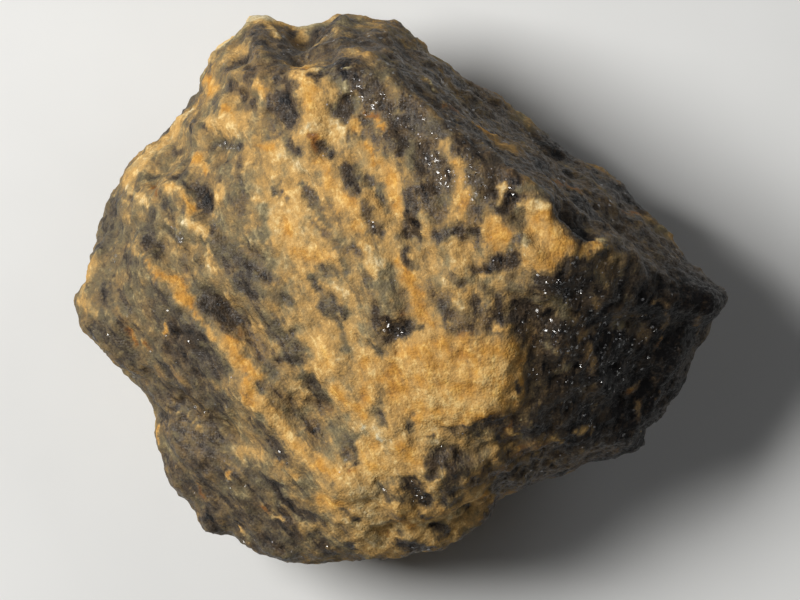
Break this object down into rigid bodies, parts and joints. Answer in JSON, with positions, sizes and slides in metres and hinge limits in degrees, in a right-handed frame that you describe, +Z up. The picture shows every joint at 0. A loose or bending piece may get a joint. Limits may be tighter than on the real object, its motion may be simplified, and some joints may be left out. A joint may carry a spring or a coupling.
{
  "type": "rough tanteuxenite stone",
  "caption": "Rough lump of dark foliated mineral with ochre patches, a pointed end and a flat resting face.",
  "frame": {"origin": "middle of the bounding box in plan, at the level of the flat face that the stone rests on", "axes": "+Z up, +X towards the dark pointed end, +Y towards the far side of the stone as it lies"},
  "size_m": [0.0132, 0.0112, 0.0071],
  "materials": {
    "stone": "rough dark brown-black mineral with glints, streaked and patched with earthy ochre"
  },
  "bodies": {
    "root": {"tanteuxenite_stone": "stone"}
  },
  "joints": []
}
